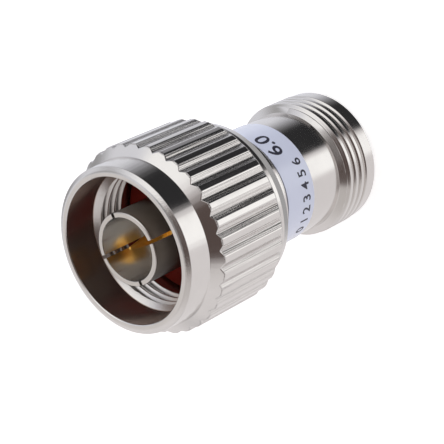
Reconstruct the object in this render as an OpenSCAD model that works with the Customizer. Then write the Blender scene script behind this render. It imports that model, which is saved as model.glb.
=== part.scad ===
// Coaxial fixed attenuator with a threaded plug at one end and a threaded jack at the other.
// The axis is +Z. The part stands on the jack's front face, with the plug's mouth at the top.

/* [Jack end] */
// Major diameter of the coupling thread
thread_d = 15.875; // [15.5:0.005:17]
// Length of the threaded stretch
thread_l = 3.6; // [3:0.1:8]
// Length of the plain ring in front of the thread
lead_l = 1.9; // [1:0.1:4]
// Length of the conical shoulder between the thread and the barrel
shoulder_l = 0.5; // [0.3:0.05:1.2]
// Chamfer at the outer edge of the jack's front face
jack_chamfer = 0.4; // [0.1:0.05:0.8]
// Bore that takes the mating sleeve
jack_bore_d = 8.13; // [7.6:0.01:9]
// Depth of that bore, down to the seat of the mating sleeve
jack_bore_l = 9.05; // [8:0.05:11]
// Chamfer at the mouth of the bore
jack_mouth_chamfer = 0.3; // [0.1:0.05:0.6]
// How far the socket contact stands out from the sleeve seat
socket_reach = 4.8; // [3:0.05:6]
// Hole in the socket contact
socket_hole_d = 1.68; // [1.2:0.01:2.2]
// Depth of the hole in the socket contact
socket_hole_l = 5.2; // [3:0.1:6.5]
// Width of the slots in the socket contact
socket_slot_w = 0.3; // [0.15:0.05:0.6]
// Length of the slots in the socket contact
socket_slot_l = 3.6; // [2:0.1:4.5]

/* [Plug end] */
// Outer diameter of the slotted sleeve
sleeve_d = 8.12; // [7.8:0.01:9]
// Height of the sleeve above the gasket
sleeve_l = 8.95; // [7:0.05:11]
// How far the sleeve's front lies behind the nut's rim
sleeve_setback = 0.75; // [0:0.05:2]
// Chamfer at the sleeve's front edge
sleeve_chamfer = 0.35; // [0.1:0.05:0.4]
// Width of the four slots in the sleeve
sleeve_slot_w = 0.4; // [0.2:0.05:0.8]
// Length of the four slots in the sleeve
sleeve_slot_l = 6.4; // [4:0.1:6.8]
// Turn of the sleeve's slots about the axis
sleeve_turn = -6; // [-45:1:45]
// Diameter of the pin
pin_d = 1.64; // [1.2:0.01:2.2]
// Diameter of the flat at the pin's tip
pin_tip_d = 0.3; // [0.1:0.05:0.8]
// Length of the pin's taper
pin_taper_l = 4.2; // [1:0.1:4.6]
// How far the pin's tip lies behind the sleeve's front
pin_setback = 0.45; // [0:0.05:1]
// How far the pin's shoulder lies behind the sleeve's front
pin_shoulder = 5.35; // [5:0.05:6.5]
// How far the insulator's nose lies behind the sleeve's front
nose_setback = 7.35; // [6.6:0.05:9]
// Thickness of the gasket
gasket_t = 0.8; // [0.4:0.05:1.5]
// Radial play of the gasket in the relief behind the nut's thread
gasket_play = 0.25; // [0.1:0.05:0.5]
// Width of the collar at the sleeve's root, which the gasket sits round
sleeve_root_w = 0.44; // [0.2:0.02:0.8]

/* [Barrel] */
// Diameter of the barrel
barrel_d = 13.9; // [13.6:0.1:14.4]
// Length of the barrel, from the jack's shoulder to the gasket
barrel_l = 17.95; // [17.5:0.05:22]
// Height of the screwed seam in the barrel, above the jack's shoulder
seam_h = 8.5; // [7.9:0.1:10]
// Diameter of the screwed spigot at that seam
spigot_d = 12.2; // [11.6:0.1:12.8]
// Gap under the foot of the spigot
spigot_gap = 0.1; // [0.05:0.05:0.4]

/* [Label] */
// Height of the label round the barrel
label_l = 4.65; // [3.8:0.05:6]
// Bare stretch of the barrel between the label and the nut
label_clear = 1.2; // [0.2:0.05:2]
// Thickness of the label's film
label_t = 0.06; // [0.03:0.01:0.2]
// Thickness of the glue under the film
label_glue = 0.02; // [0.01:0.01:0.05]
// Gap between the label's two ends
label_gap = 0.8; // [0.2:0.1:3]

/* [Coupling nut] */
// Diameter over the flutes
nut_d = 21; // [20.6:0.1:24]
// Length of the nut
nut_l = 17.8; // [16.4:0.1:18.6]
// Diameter of the smooth front collar
nut_collar_d = 18.7; // [18:0.1:19.4]
// Length of the smooth front collar
nut_collar_l = 3; // [1:0.1:4]
// Length of the conical shoulder before the flutes
nut_shoulder_l = 1.05; // [0.6:0.05:2]
// Diameter of the smooth rear collar
nut_rear_d = 19.5; // [18.8:0.1:19.7]
// Length of the smooth rear collar
nut_rear_l = 1.8; // [1.5:0.1:2.4]
// Diameter at the end of the rear collar's taper
nut_rear_end_d = 18.6; // [17.6:0.1:18.7]
// Length of that taper
nut_rear_taper_l = 1.25; // [0.6:0.05:1.4]
// Diameter of the boss behind the rear collar
nut_boss_d = 15.9; // [15:0.1:17.4]
// Length of that boss
nut_boss_l = 1.85; // [0.5:0.05:2]
// Chamfer at the outer edge of the rim
nut_rim_chamfer = 0.65; // [0.1:0.05:0.7]
// Chamfer at the inner edge of the rim
nut_mouth_chamfer = 0.1; // [0.05:0.05:0.2]
// Number of flutes
flute_count = 34; // [24:1:40]
// Depth of a flute
flute_depth = 0.36; // [0.2:0.02:0.6]
// Width of a flute at its mouth
flute_w = 1.34; // [0.6:0.02:1.5]
// Width of a flute at its floor
flute_floor_w = 0.1; // [0.06:0.02:0.5]
// Turn of the first flute about the axis
flute_turn = 1.1; // [-5:0.1:5]
// Plain bore at the nut's mouth
nut_bore_d = 16.1; // [16:0.05:17]
// Depth of that plain bore
nut_bore_l = 4.1; // [2:0.1:5]
// Minor diameter of the nut's thread
nut_minor_d = 14.7; // [14.5:0.05:15.2]
// Length of the nut's thread
nut_thread_l = 3.2; // [2.5:0.1:3.8]
// Diameter of the relief behind the nut's thread
nut_relief_d = 16.2; // [15.9:0.05:17]
// How far the relief goes on behind the gasket's seat
nut_relief_past = 0.2; // [0.1:0.1:1.2]
// Radial running clearance of the nut on the barrel
nut_running_gap = 0.08; // [0.02:0.01:0.1]

/* [Retaining ring] */
// Thickness of the ring along the axis
ring_t = 1; // [0.6:0.05:1.4]
// Height of the ring above the nut's rear face
ring_from = 2; // [1.6:0.1:2.6]
// How deep the ring sits in the barrel's groove
ring_seat = 0.85; // [0.5:0.05:0.9]
// How far the ring stands out of the barrel into the nut
ring_proud = 0.5; // [0.3:0.05:0.8]
// Play of the ring in its two grooves
ring_play = 0.08; // [0.03:0.01:0.15]
// Width of the ring's split
ring_split = 1.4; // [0.5:0.1:4]

/* [Inside] */
// Inner diameter of the coaxial line's outer wall
line_d = 7; // [6.4:0.05:7.2]
// Diameter of the coaxial line's centre contact
centre_d = 3.04; // [2.7:0.02:3.3]
// Length of the narrow line between the jack's sleeve seat and its bead
line_l = 0.9; // [0.5:0.1:2]
// Diameter of the insulating beads
bead_d = 8.7; // [8:0.1:9]
// Thickness of the insulating beads
bead_l = 2; // [1.4:0.1:2.4]
// Diameter of a centre contact inside its bead
bead_core_d = 2.6; // [2.2:0.05:2.64]
// Thickness of the lock rings that hold the beads
lock_l = 0.7; // [0.4:0.05:1]
// Hole in the lock rings
lock_hole_d = 5.2; // [4.4:0.1:5.6]
// Diameter of the chamber that holds the attenuating element
chamber_d = 10.4; // [10:0.1:10.8]
// Length of that chamber
chamber_l = 6; // [5:0.1:6.4]
// Diameter of the channel along the element
channel_d = 5.2; // [4.4:0.1:5.6]
// Width of the ceramic chip
chip_w = 8; // [7:0.1:9]
// Thickness of the ceramic chip
chip_t = 0.5; // [0.3:0.05:0.8]
// Room between the chip's ends and the chamber's ends
chip_end_gap = 0.4; // [0.2:0.05:0.8]
// How far the centre contacts grip the chip
chip_grip = 1.2; // [0.6:0.1:1.6]
// Clearance round pieces that are pushed into one another
fit_gap = 0.02; // [0.01:0.005:0.04]

/* [Hidden] */

$fn = 96;
// Small overshoot of a cutting tool
over = 0.5;

// Radii of the main turned surfaces
thread_r = thread_d / 2;
barrel_r = barrel_d / 2;
sleeve_r = sleeve_d / 2;
line_r = line_d / 2;
centre_r = centre_d / 2;
bead_r = bead_d / 2;
chamber_r = chamber_d / 2;
spigot_r = spigot_d / 2;
root_r = sleeve_r + sleeve_root_w;

// Heights of the outer form, from the jack's face up
thread_top = lead_l + thread_l;
shoulder_top = thread_top + shoulder_l;
seam_z = shoulder_top + seam_h;
seat_z = shoulder_top + barrel_l;
gasket_top = seat_z + gasket_t;
sleeve_top = gasket_top + sleeve_l;
nut_top = sleeve_top + sleeve_setback;
nut_bottom = nut_top - nut_l;

// Heights of the inner stack, from the jack's sleeve seat up
jack_bead_z = jack_bore_l + line_l;
jack_lock_z = jack_bead_z + bead_l;
chamber_z = jack_lock_z + lock_l;
chamber_top = chamber_z + chamber_l;
plug_bead_z = chamber_top + lock_l;
cup_line_z = plug_bead_z + bead_l;
cup_top = cup_line_z + lock_l;
chip_z = chamber_z + chip_end_gap;
chip_l = chamber_l - 2 * chip_end_gap;

// Retaining ring and its grooves
ring_z = nut_bottom + ring_from;
ring_inner_r = barrel_r - ring_seat;
ring_outer_r = barrel_r + ring_proud;

// A disc of radius r from height z over length l
module disc(r, z, l) {
  translate([0, 0, z]) cylinder(r = r, h = l);
}

// A cone from radius r1 at height z to radius r2 over length l
module taper(r1, r2, z, l) {
  translate([0, 0, z]) cylinder(r1 = r1, r2 = r2, h = l);
}

// A tube from radius inner to radius outer
module tube(inner, outer, z, l) {
  difference() {
    disc(outer, z, l);
    disc(inner, z - over, l + 2 * over);
  }
}

// A slot of width w and length l right across the axis, turned by a
module cross_slot(w, z, l, reach, a = 0) {
  rotate(a) translate([-reach, -w / 2, z]) cube([2 * reach, w, l]);
}

// The jack: threaded mouth, conical shoulder and the lower half of the barrel, turned from one bar
module jack_body() {
  color("#cfcac4") difference() {
    union() {
      taper(thread_r - jack_chamfer, thread_r, 0, jack_chamfer);
      disc(thread_r, jack_chamfer, thread_top - jack_chamfer);
      taper(thread_r, barrel_r, thread_top, shoulder_l);
      disc(barrel_r, shoulder_top, seam_h);
    }
    disc(jack_bore_d / 2, -over, jack_bore_l + over);
    mouth_r = jack_bore_d / 2 + jack_mouth_chamfer;
    taper(mouth_r, jack_bore_d / 2, 0, jack_mouth_chamfer);
    disc(mouth_r, -over, over);
    disc(line_r, 0, chamber_z);
    disc(bead_r + fit_gap, jack_bead_z, bead_l + lock_l + over);
    disc(spigot_r + fit_gap, chamber_z, seam_z - chamber_z + over);
  }
}

// The plug's body: upper half of the barrel with its spigot, the ring's groove and the gasket's seat
module plug_body() {
  color("#cfcac4") difference() {
    union() {
      disc(spigot_r, chamber_z + spigot_gap, seam_z - chamber_z);
      disc(barrel_r, seam_z, seat_z - seam_z);
    }
    disc(chamber_r + fit_gap, chamber_z, cup_top - chamber_z);
    disc(root_r + fit_gap, cup_top - over, seat_z - cup_top + 2 * over);
    tube(ring_inner_r - ring_play, barrel_r + over, ring_z - ring_play, ring_t + 2 * ring_play);
  }
}

// Half outline of the nut's outside: boss, tapered rear collar, fluted stretch, shoulder, front collar and rim
module nut_outline() {
  crest_r = nut_d / 2;
  collar_r = nut_collar_d / 2;
  rear_r = nut_rear_d / 2;
  boss_r = nut_boss_d / 2;
  shoulder_z = nut_top - nut_collar_l;
  boss_z = nut_bottom + nut_boss_l;
  rear_z = boss_z + nut_rear_l;
  polygon([
    [0, nut_bottom], [boss_r, nut_bottom], [boss_r, boss_z], [nut_rear_end_d / 2, boss_z],
    [rear_r, boss_z + nut_rear_taper_l], [rear_r, rear_z], [crest_r, rear_z + crest_r - rear_r],
    [crest_r, shoulder_z - nut_shoulder_l], [collar_r, shoulder_z], [collar_r, nut_top - nut_rim_chamfer],
    [collar_r - nut_rim_chamfer, nut_top], [0, nut_top]
  ]);
}

// One flute: a groove with sloping sides along the nut
module flute() {
  root = nut_d / 2 - flute_depth;
  mouth = nut_d / 2;
  slope = (flute_w - flute_floor_w) / 2 / flute_depth;
  wide = flute_w / 2 + slope * over;
  translate([0, 0, nut_bottom]) linear_extrude(nut_l) polygon([
    [root, -flute_floor_w / 2], [mouth + over, -wide], [mouth + over, wide], [root, flute_floor_w / 2]
  ]);
}

// The coupling nut: fluted outside, plain mouth, thread, relief and the groove for the ring
module coupling_nut() {
  bore_r = nut_bore_d / 2;
  minor_r = nut_minor_d / 2;
  lead_z = nut_top - nut_bore_l;
  thread_z = lead_z - (bore_r - minor_r);
  relief_z = seat_z - nut_relief_past;
  guide_r = barrel_r + nut_running_gap;
  color("#d6d2cd") difference() {
    rotate_extrude() nut_outline();
    for (i = [0:flute_count - 1]) rotate(flute_turn + i * 360 / flute_count) flute();
    disc(bore_r, lead_z, nut_bore_l + over);
    taper(bore_r, bore_r + nut_mouth_chamfer, nut_top - nut_mouth_chamfer, nut_mouth_chamfer);
    disc(bore_r + nut_mouth_chamfer, nut_top, over);
    taper(minor_r, bore_r, thread_z, bore_r - minor_r);
    disc(minor_r, relief_z, thread_z - relief_z);
    disc(nut_relief_d / 2, relief_z, thread_z - nut_thread_l - relief_z);
    disc(guide_r, nut_bottom - over, nut_l);
    disc(ring_outer_r + ring_play, ring_z - ring_play, ring_t + 2 * ring_play);
  }
}

// The split ring that keeps the nut on the barrel
module retaining_ring() {
  color("#b08d57") difference() {
    tube(ring_inner_r, ring_outer_r, ring_z, ring_t);
    translate([0, -ring_split / 2, ring_z - over]) cube([nut_d, ring_split, ring_t + 2 * over]);
  }
}

// The flat seal at the bottom of the plug's mouth
module gasket() {
  color("#6e1a16") tube(root_r + fit_gap, nut_relief_d / 2 - gasket_play, seat_z, gasket_t);
}

// The plug's outer contact: a slotted sleeve on a cup that holds the bead
module plug_sleeve() {
  color("#b9b3aa") difference() {
    union() {
      disc(chamber_r, chamber_top, cup_top - chamber_top);
      disc(root_r, cup_top, gasket_top - cup_top);
      disc(sleeve_r, gasket_top, sleeve_l - sleeve_chamfer);
      taper(sleeve_r, sleeve_r - sleeve_chamfer, sleeve_top - sleeve_chamfer, sleeve_chamfer);
    }
    disc(line_r, chamber_top, sleeve_top - chamber_top + over);
    disc(bead_r + fit_gap, chamber_top - over, bead_l + lock_l + over);
    for (a = [0, 90])
      cross_slot(sleeve_slot_w, sleeve_top - sleeve_slot_l, sleeve_slot_l + over, sleeve_d, sleeve_turn + a);
  }
}

// The end of a centre contact that grips the chip, open towards +Z, from its bead's far face
module chip_jaw(z, l) {
  grip_l = chip_grip + fit_gap;
  difference() {
    disc(bead_core_d / 2, z, l);
    cross_slot(chip_t + 2 * fit_gap, z + l - grip_l, grip_l + over, centre_d);
  }
}

// The plug's centre contact, from the jaw on the chip up to the pointed pin
module plug_pin() {
  jaw_l = lock_l + chip_end_gap + chip_grip + bead_l;
  tip_z = sleeve_top - pin_setback;
  taper_z = tip_z - pin_taper_l;
  shoulder_z = sleeve_top - pin_shoulder;
  color("#c8922e") {
    translate([0, 0, cup_line_z]) mirror([0, 0, 1]) chip_jaw(0, jaw_l);
    disc(centre_r, cup_line_z, shoulder_z - cup_line_z);
    disc(pin_d / 2, shoulder_z, taper_z - shoulder_z);
    taper(pin_d / 2, pin_tip_d / 2, taper_z, pin_taper_l);
  }
}

// An insulating bead between heights z and z + bead_l
module bead(z) {
  color("#f1efe8") tube(bead_core_d / 2 + fit_gap, bead_r, z, bead_l);
}

// A ring that locks a bead in its seat
module lock_ring(z) {
  color("#c9b458") tube(lock_hole_d / 2, bead_r, z, lock_l);
}

// The plug's bead, with a nose that fills the line up towards the pin's shoulder
module plug_bead() {
  bead(plug_bead_z);
  color("#f1efe8")
    tube(centre_r + fit_gap, line_r - fit_gap, plug_bead_z, sleeve_top - nose_setback - plug_bead_z);
}

module plug_lock_ring() {
  lock_ring(chamber_top);
}

// The jack's centre contact, from the slotted socket up to the jaw on the chip
module jack_contact() {
  socket_z = jack_bore_l - socket_reach;
  jaw_l = bead_l + lock_l + chip_end_gap + chip_grip;
  color("#c8922e") {
    difference() {
      disc(centre_r, socket_z, jack_bead_z - socket_z);
      disc(socket_hole_d / 2, socket_z - over, socket_hole_l + over);
      for (a = [45, 135]) cross_slot(socket_slot_w, socket_z - over, socket_slot_l + over, centre_d, a);
    }
    chip_jaw(jack_bead_z, jaw_l);
  }
}

module jack_bead() {
  bead(jack_bead_z);
}

module jack_lock_ring() {
  lock_ring(jack_lock_z);
}

// The ceramic chip that carries the resistive film
module attenuator_chip() {
  color("#e9e5da") translate([-chip_w / 2, -chip_t / 2, chip_z]) cube([chip_w, chip_t, chip_l]);
}

// One of the two half shells that clamp the chip's earthed edges, on the side of -Y or +Y
module ground_half(side) {
  y = side > 0 ? chip_t / 2 : -chip_t / 2 - chamber_d;
  color("#c9b458") difference() {
    intersection() {
      disc(chamber_r, chamber_z, chamber_l);
      translate([-chamber_d, y, chamber_z]) cube([2 * chamber_d, chamber_d, chamber_l]);
    }
    disc(channel_d / 2, chamber_z - over, chamber_l + 2 * over);
  }
}

module ground_half_front() {
  ground_half(-1);
}

module ground_half_rear() {
  ground_half(1);
}

// The film label round the barrel, with its two ends facing +Y
module label() {
  inner = barrel_r + label_glue;
  color("#c3c9de") difference() {
    tube(inner, inner + label_t, nut_bottom - label_clear - label_l, label_l);
    translate([-label_gap / 2, 0, shoulder_top]) cube([label_gap, barrel_d, barrel_l]);
  }
}

jack_body();
plug_body();
coupling_nut();
retaining_ring();
gasket();
plug_sleeve();
plug_pin();
plug_bead();
plug_lock_ring();
jack_contact();
jack_bead();
jack_lock_ring();
attenuator_chip();
ground_half_front();
ground_half_rear();
label();
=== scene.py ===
"""Looks of a coaxial fixed attenuator with a screw-on plug and a threaded jack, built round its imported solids.

The solids come in as a fixed frame. The turned pieces that show are then made again as finer surfaces with
their threads, flutes and edge breaks, every piece gets its finish, and the stage is set up.
"""

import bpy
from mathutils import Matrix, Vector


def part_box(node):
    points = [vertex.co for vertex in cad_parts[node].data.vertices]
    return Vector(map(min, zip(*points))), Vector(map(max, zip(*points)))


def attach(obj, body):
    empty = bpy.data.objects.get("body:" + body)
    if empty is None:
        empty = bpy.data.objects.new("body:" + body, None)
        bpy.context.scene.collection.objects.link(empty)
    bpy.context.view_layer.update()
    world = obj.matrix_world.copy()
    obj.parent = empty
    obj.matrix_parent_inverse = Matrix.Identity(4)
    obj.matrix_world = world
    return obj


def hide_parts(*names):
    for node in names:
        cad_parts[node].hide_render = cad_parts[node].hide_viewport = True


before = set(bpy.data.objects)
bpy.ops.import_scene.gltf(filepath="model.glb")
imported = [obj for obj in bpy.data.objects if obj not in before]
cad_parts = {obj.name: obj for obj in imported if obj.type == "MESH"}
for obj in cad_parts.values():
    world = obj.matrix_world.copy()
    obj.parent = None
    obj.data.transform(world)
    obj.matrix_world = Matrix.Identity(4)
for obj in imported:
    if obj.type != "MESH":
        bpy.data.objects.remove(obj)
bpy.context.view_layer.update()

import math
from collections import namedtuple

import bmesh
import bpy
import numpy as np
from bpy.props import FloatProperty, FloatVectorProperty, IntProperty, PointerProperty, StringProperty
from mathutils import Matrix

bl_info = {
    "name": "Coaxial attenuator",
    "version": (1, 0, 0),
    "blender": (4, 5, 0),
    "location": "View3D > Sidebar > Attenuator",
    "description": "Builds the turned pieces, finishes and stage of a coaxial fixed attenuator",
    "category": "Object",
}

MM = 0.001

# Heights and radii that the solids give, in metres
NUT_LOW, NUT_TOP = (corner.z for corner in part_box("coupling_nut"))
SEAT_Z, GASKET_TOP = (corner.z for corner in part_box("gasket"))
CUP_LOW, SLEEVE_TOP = (corner.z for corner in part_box("plug_sleeve"))
SEAM_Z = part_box("jack_body")[1].z
JACK_BEAD_LOW, JACK_BEAD_TOP = (corner.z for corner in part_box("jack_bead"))
PLUG_BEAD_LOW, NOSE_TOP = (corner.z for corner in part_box("plug_bead"))
PLUG_BEAD_TOP = PLUG_BEAD_LOW + JACK_BEAD_TOP - JACK_BEAD_LOW
SPIGOT_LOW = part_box("plug_body")[0].z
CHAMBER_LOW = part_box("ground_half_front")[0].z
SOCKET_LOW, JACK_JAW_TOP = (corner.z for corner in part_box("jack_contact"))
PLUG_JAW_LOW, PIN_TOP = (corner.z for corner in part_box("plug_pin"))
LABEL_LOW, LABEL_TOP = (corner.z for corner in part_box("label"))
RING_LOW, RING_TOP = (corner.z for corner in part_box("retaining_ring"))
BARREL_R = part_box("plug_body")[1].x
THREAD_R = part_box("jack_body")[1].x
NUT_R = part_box("coupling_nut")[1].y

# Radii of a broken edge, an inner corner, a softened edge and a rounded edge on a turned piece
EDGE, CORNER, SOFT_EDGE, ROUND_EDGE = 0.06 * MM, 0.1 * MM, 0.12 * MM, 0.15 * MM

# Columns round the axis of turned pieces, the jack with its thread, the pin and the label, and round half a jaw
ROUND, JACK_ROUND, PIN_ROUND, LABEL_ROUND, JAW_ROUND = 192, 256, 96, 241, 33
# Rows along the jack's and the nut's thread, about 50 and 19 to a turn
JACK_THREAD_ROWS, NUT_THREAD_ROWS = 180, 62
# Part of a turn over which a thread's corners are rounded
THREAD_BLUR = 0.04
# Edges that turn more than this stay sharp
SHARP = math.radians(40)

# Place and axes of the camera, fitted to the circles in the photograph
CAMERA_AT = np.array([-1.762, -124.381, 142.296]) * MM
CAMERA_AXES = (-0.44195, -0.63006, -0.6385), (0.89704, -0.31041, -0.3146), (0.0, -0.7118, 0.7024)
SENSOR = 36.0
# Half the floor's side, how far it lies below the jack's face, and its own faint glow, which keeps it white
FLOOR_HALF, FLOOR_DROP, FLOOR_GLOW = 1.5, 0.02 * MM, 0.75


def length(name, description, mm):
    """A length property whose default is given in millimetres."""
    return FloatProperty(name=name, description=description, default=mm * MM, min=0.0, precision=5, unit="LENGTH")


def bearing(name, description, degrees):
    """An angle property whose default is given in degrees."""
    return FloatProperty(name=name, description=description, default=math.radians(degrees), subtype="ANGLE")


def share(name, description, part):
    """A property for a part of a whole."""
    return FloatProperty(name=name, description=description, default=part, min=0.0, max=1.0, subtype="FACTOR")


def linear(code):
    """Linear red, green and blue of an sRGB hex colour."""
    part = np.array([int(code[i:i + 2], 16) for i in (1, 3, 5)]) / 255
    return tuple(np.where(part <= 0.04045, part / 12.92, ((part + 0.055) / 1.055) ** 2.4))


def colour(name, description, code):
    """A colour property whose default is given as an sRGB hex value."""
    return FloatVectorProperty(
        name=name, description=description, default=linear(code), size=3, min=0.0, max=1.0, subtype="COLOR")


class ThreadSizes(bpy.types.PropertyGroup):
    """The coupling thread that both ends share."""

    pitch: length("Pitch", "Axial step of the coupling thread", 1.0583)
    depth: length("Depth", "Height of a turn of the jack's thread", 0.42)
    root: share("Root", "Flat root of the jack's thread as a part of its pitch", 0.12)
    crest: share("Crest", "Flat crest of the jack's thread as a part of its pitch", 0.45)
    inner_depth: length("Inner depth", "Height of a turn of the nut's thread", 0.573)
    inner_root: share("Inner root", "Flat root of the nut's thread as a part of its pitch", 0.25)
    inner_crest: share("Inner crest", "Flat crest of the nut's thread as a part of its pitch", 0.125)
    fade: length("Run-out", "Length over which a thread sinks in from the plain bar or bore", 0.3)
    lead: length("Plain ring", "Plain ring in front of the jack's thread", 1.9)
    end: length("Thread end", "Height of the end of the jack's thread above its face", 5.5)


class JackSizes(bpy.types.PropertyGroup):
    """The jack's turned body and socket contact."""

    shoulder: length("Shoulder", "Length of the conical shoulder between the thread and the barrel", 0.5)
    ring_step: length("Ring step", "How far the plain ring lies inside the thread's crests", 0.1)
    chamfer: length("Face chamfer", "Chamfer at the outer edge of the jack's face", 0.4)
    bore_r: length("Bore radius", "Bore that takes the mating sleeve", 4.065)
    bore_l: length("Bore depth", "Depth of that bore", 9.05)
    mouth: length("Mouth chamfer", "Chamfer at the mouth of the bore", 0.3)
    hole_r: length("Socket hole radius", "Hole in the socket contact", 0.84)
    hole_l: length("Socket hole depth", "Depth of the hole in the socket contact", 5.2)
    slot_w: length("Socket slot width", "Width of the slots in the socket contact", 0.3)
    slot_l: length("Socket slot length", "Length of the slots in the socket contact", 3.6)
    slot_turn: bearing("Socket slot turn", "Turn of the socket's slots about the axis", 45)
    spigot_r: length("Spigot radius", "Radius of the screwed spigot between the barrel's halves", 6.1)


class LineSizes(bpy.types.PropertyGroup):
    """The coaxial line inside."""

    wall_r: length("Wall radius", "Inner radius of the line's outer wall", 3.5)
    centre_r: length("Centre radius", "Radius of the centre contacts", 1.52)
    core_r: length("Core radius", "Radius of a centre contact inside its bead", 1.3)
    bead_r: length("Bead radius", "Outer radius of the insulating beads", 4.35)
    cup_r: length("Cup radius", "Outer radius of the sleeve's cup", 5.2)
    cup_step: length("Cup wall", "Thickness of the cup's end above its bead", 0.7)
    root_r: length("Root radius", "Radius of the collar at the sleeve's root", 4.5)
    jaw_gap: length("Jaw gap", "Width of the jaw that grips the chip", 0.54)
    jaw_l: length("Jaw length", "Length of the jaw that grips the chip", 1.22)
    fit: length("Fit", "Clearance round pieces that are pushed into one another", 0.02)


class PlugSizes(bpy.types.PropertyGroup):
    """The plug's slotted sleeve and pin."""

    sleeve_r: length("Sleeve radius", "Outer radius of the slotted sleeve", 4.06)
    nose: length("Sleeve nose", "Rounding of the sleeve's front edge", 0.14)
    slot_w: length("Slot width", "Width of the sleeve's four slots", 0.4)
    slot_l: length("Slot length", "Length of the sleeve's four slots", 6.4)
    turn: bearing("Slot turn", "Turn of the sleeve's slots about the axis", -6)
    pin_r: length("Pin radius", "Radius of the pin", 0.82)
    tip_r: length("Tip radius", "Radius of the flat at the pin's tip", 0.15)
    taper: length("Taper length", "Length of the pin's taper", 4.2)
    taper_round: length("Taper rounding", "Rounding where the pin's taper starts", 1.2)
    shoulder: length("Pin shoulder", "How far the pin's shoulder lies behind the sleeve's front", 5.35)


class NutSizes(bpy.types.PropertyGroup):
    """The coupling nut."""

    collar_r: length("Collar radius", "Radius of the smooth front collar", 9.35)
    collar_l: length("Collar length", "Length of the smooth front collar", 3.0)
    shoulder_l: length("Shoulder length", "Length of the conical shoulder before the flutes", 1.05)
    rear_r: length("Rear radius", "Radius of the smooth rear collar", 9.75)
    rear_l: length("Rear length", "Length of the smooth rear collar", 1.8)
    rear_end_r: length("Rear end radius", "Radius at the end of the rear collar's taper", 9.3)
    rear_taper: length("Rear taper", "Length of that taper", 1.25)
    rear_round: length("Rear rounding", "Rounding where that taper starts", 0.3)
    boss_r: length("Boss radius", "Radius of the boss behind the rear collar", 7.95)
    boss_l: length("Boss length", "Length of that boss", 1.85)
    rim_r: length("Rim radius", "Radius to which the front collar tapers at its rim", 9.15)
    rim: length("Rim drop", "How far the rim slopes down to its outer edge", 0.36)
    rim_w: length("Rim slope", "Width of that slope", 0.56)
    crown: length("Rim crown", "Rounding between the rim's face and that slope", 0.7)
    mouth: length("Mouth chamfer", "Chamfer at the inner edge of the rim", 0.1)
    bore_r: length("Bore radius", "Plain bore at the nut's mouth", 8.05)
    bore_l: length("Bore depth", "Depth of that plain bore", 4.1)
    minor_r: length("Minor radius", "Minor radius of the nut's thread", 7.35)
    thread_l: length("Thread length", "Length of the nut's thread", 3.2)
    relief_r: length("Relief radius", "Radius of the relief behind the thread", 8.1)
    relief_past: length("Relief overrun", "How far the relief goes on behind the gasket's seat", 0.2)
    gap: length("Running gap", "Radial running clearance on the barrel", 0.08)
    groove_r: length("Groove radius", "Radius of the nut's groove for the retaining ring", 7.53)
    seat_r: length("Seat radius", "Radius of the barrel's groove for the retaining ring", 6.02)
    groove_play: length("Groove play", "Play of the ring in its groove", 0.08)
    flutes: IntProperty(name="Flutes", description="Number of flutes", default=34, min=8)
    flute_depth: length("Flute depth", "Depth of a flute", 0.36)
    flute_w: length("Flute width", "Width of a flute at its mouth", 1.34)
    flute_end: length("Flute ends", "Rounding of the edges where the flutes run out", 0.25)
    land_round: length("Land rounding", "Rounding of the edges between a flute and the lands beside it", 0.3)
    turn: bearing("Flute turn", "Turn of the first flute about the axis", 1.1)


class LabelSizes(bpy.types.PropertyGroup):
    """The film label and its printed numbers."""

    glue: length("Glue", "Thickness of the glue under the film", 0.02)
    film: length("Film", "Thickness of the film", 0.06)
    gap: length("Gap", "Gap between the label's two ends", 0.8)
    ink: length("Ink", "Thickness of the printed ink", 0.008)
    edge: length("Film edge", "Rounding of the film's edges", 0.02)
    bold: share("Weight", "Thickening of the figures as a part of their height", 0.015)
    large: StringProperty(name="Large number", description="Number in large figures", default="6.0")
    small: StringProperty(name="Small numbers", description="Numbers of the small scale", default="0 1 2 3 4 5 6")
    large_h: length("Large figures", "Height of the large figures", 2.0)
    large_z: length("Large foot", "Foot of the large figures above the label's edge", 2.15)
    large_turn: bearing("Large turn", "Turn of the large figures about the axis", -60)
    small_h: length("Small figures", "Height of the small figures", 1.3)
    small_z: length("Small foot", "Foot of the small figures above the label's edge", 0.75)
    small_turn: bearing("Small turn", "Turn of the small figures about the axis", -120)


class FinishColours(bpy.types.PropertyGroup):
    """Base colours of the finishes."""

    body: colour("Body plating", "Bright nickel on the barrel and jack", "#e4e1de")
    nut: colour("Nut plating", "Bright nickel on the coupling nut", "#e6e3e0")
    # Darker and browner than the nut's own plating: painted shade for the deep bore
    bore: colour("Bore plating", "Thin dark nickel in the nut's bore", "#cdbcb2")
    sleeve: colour("Sleeve plating", "White bronze on the slotted sleeve", "#dedad5")
    # Lighter than the metal's own colour: painted light inside the sleeve's deep bore
    sleeve_bore_painted_light: colour("Sleeve bore", "White bronze where the sleeve was reamed", "#fbfaf9")
    # Darker than the metal's own colour: painted shade on the sleeve's outside
    sleeve_side_painted_shade: colour("Sleeve side", "Satin white bronze on the sleeve's outside", "#8d857c")
    gold: colour("Gold", "Gold plating on the contacts", "#fbc86a")
    gasket: colour("Gasket", "Dark red silicone", "#b83424")
    ptfe: colour("Insulator", "Turned fluoropolymer", "#efece4")
    film: colour("Label film", "Pale printed film", "#d8dff5")
    ink: colour("Ink", "Printing ink", "#232334")
    brass: colour("Brass", "Turned brass inside", "#d6bd72")
    bronze: colour("Bronze", "Spring bronze of the retaining ring", "#b98f58")
    alumina: colour("Ceramic", "Fired alumina of the chip", "#ebe7dc")
    resist: colour("Resistive film", "Film on the chip", "#4a4440")


class StageSettings(bpy.types.PropertyGroup):
    """Floor, light and camera."""

    floor: colour("Floor", "Plain pale floor", "#f4f4f4")
    light: FloatProperty(name="Light", description="Strength of the soft studio light", default=1.0, min=0.0)
    lens: FloatProperty(
        name="Lens", description="Focal length on a 36 mm sensor", default=129.73, min=1.0, subtype="DISTANCE_CAMERA")


# Shapes


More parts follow.
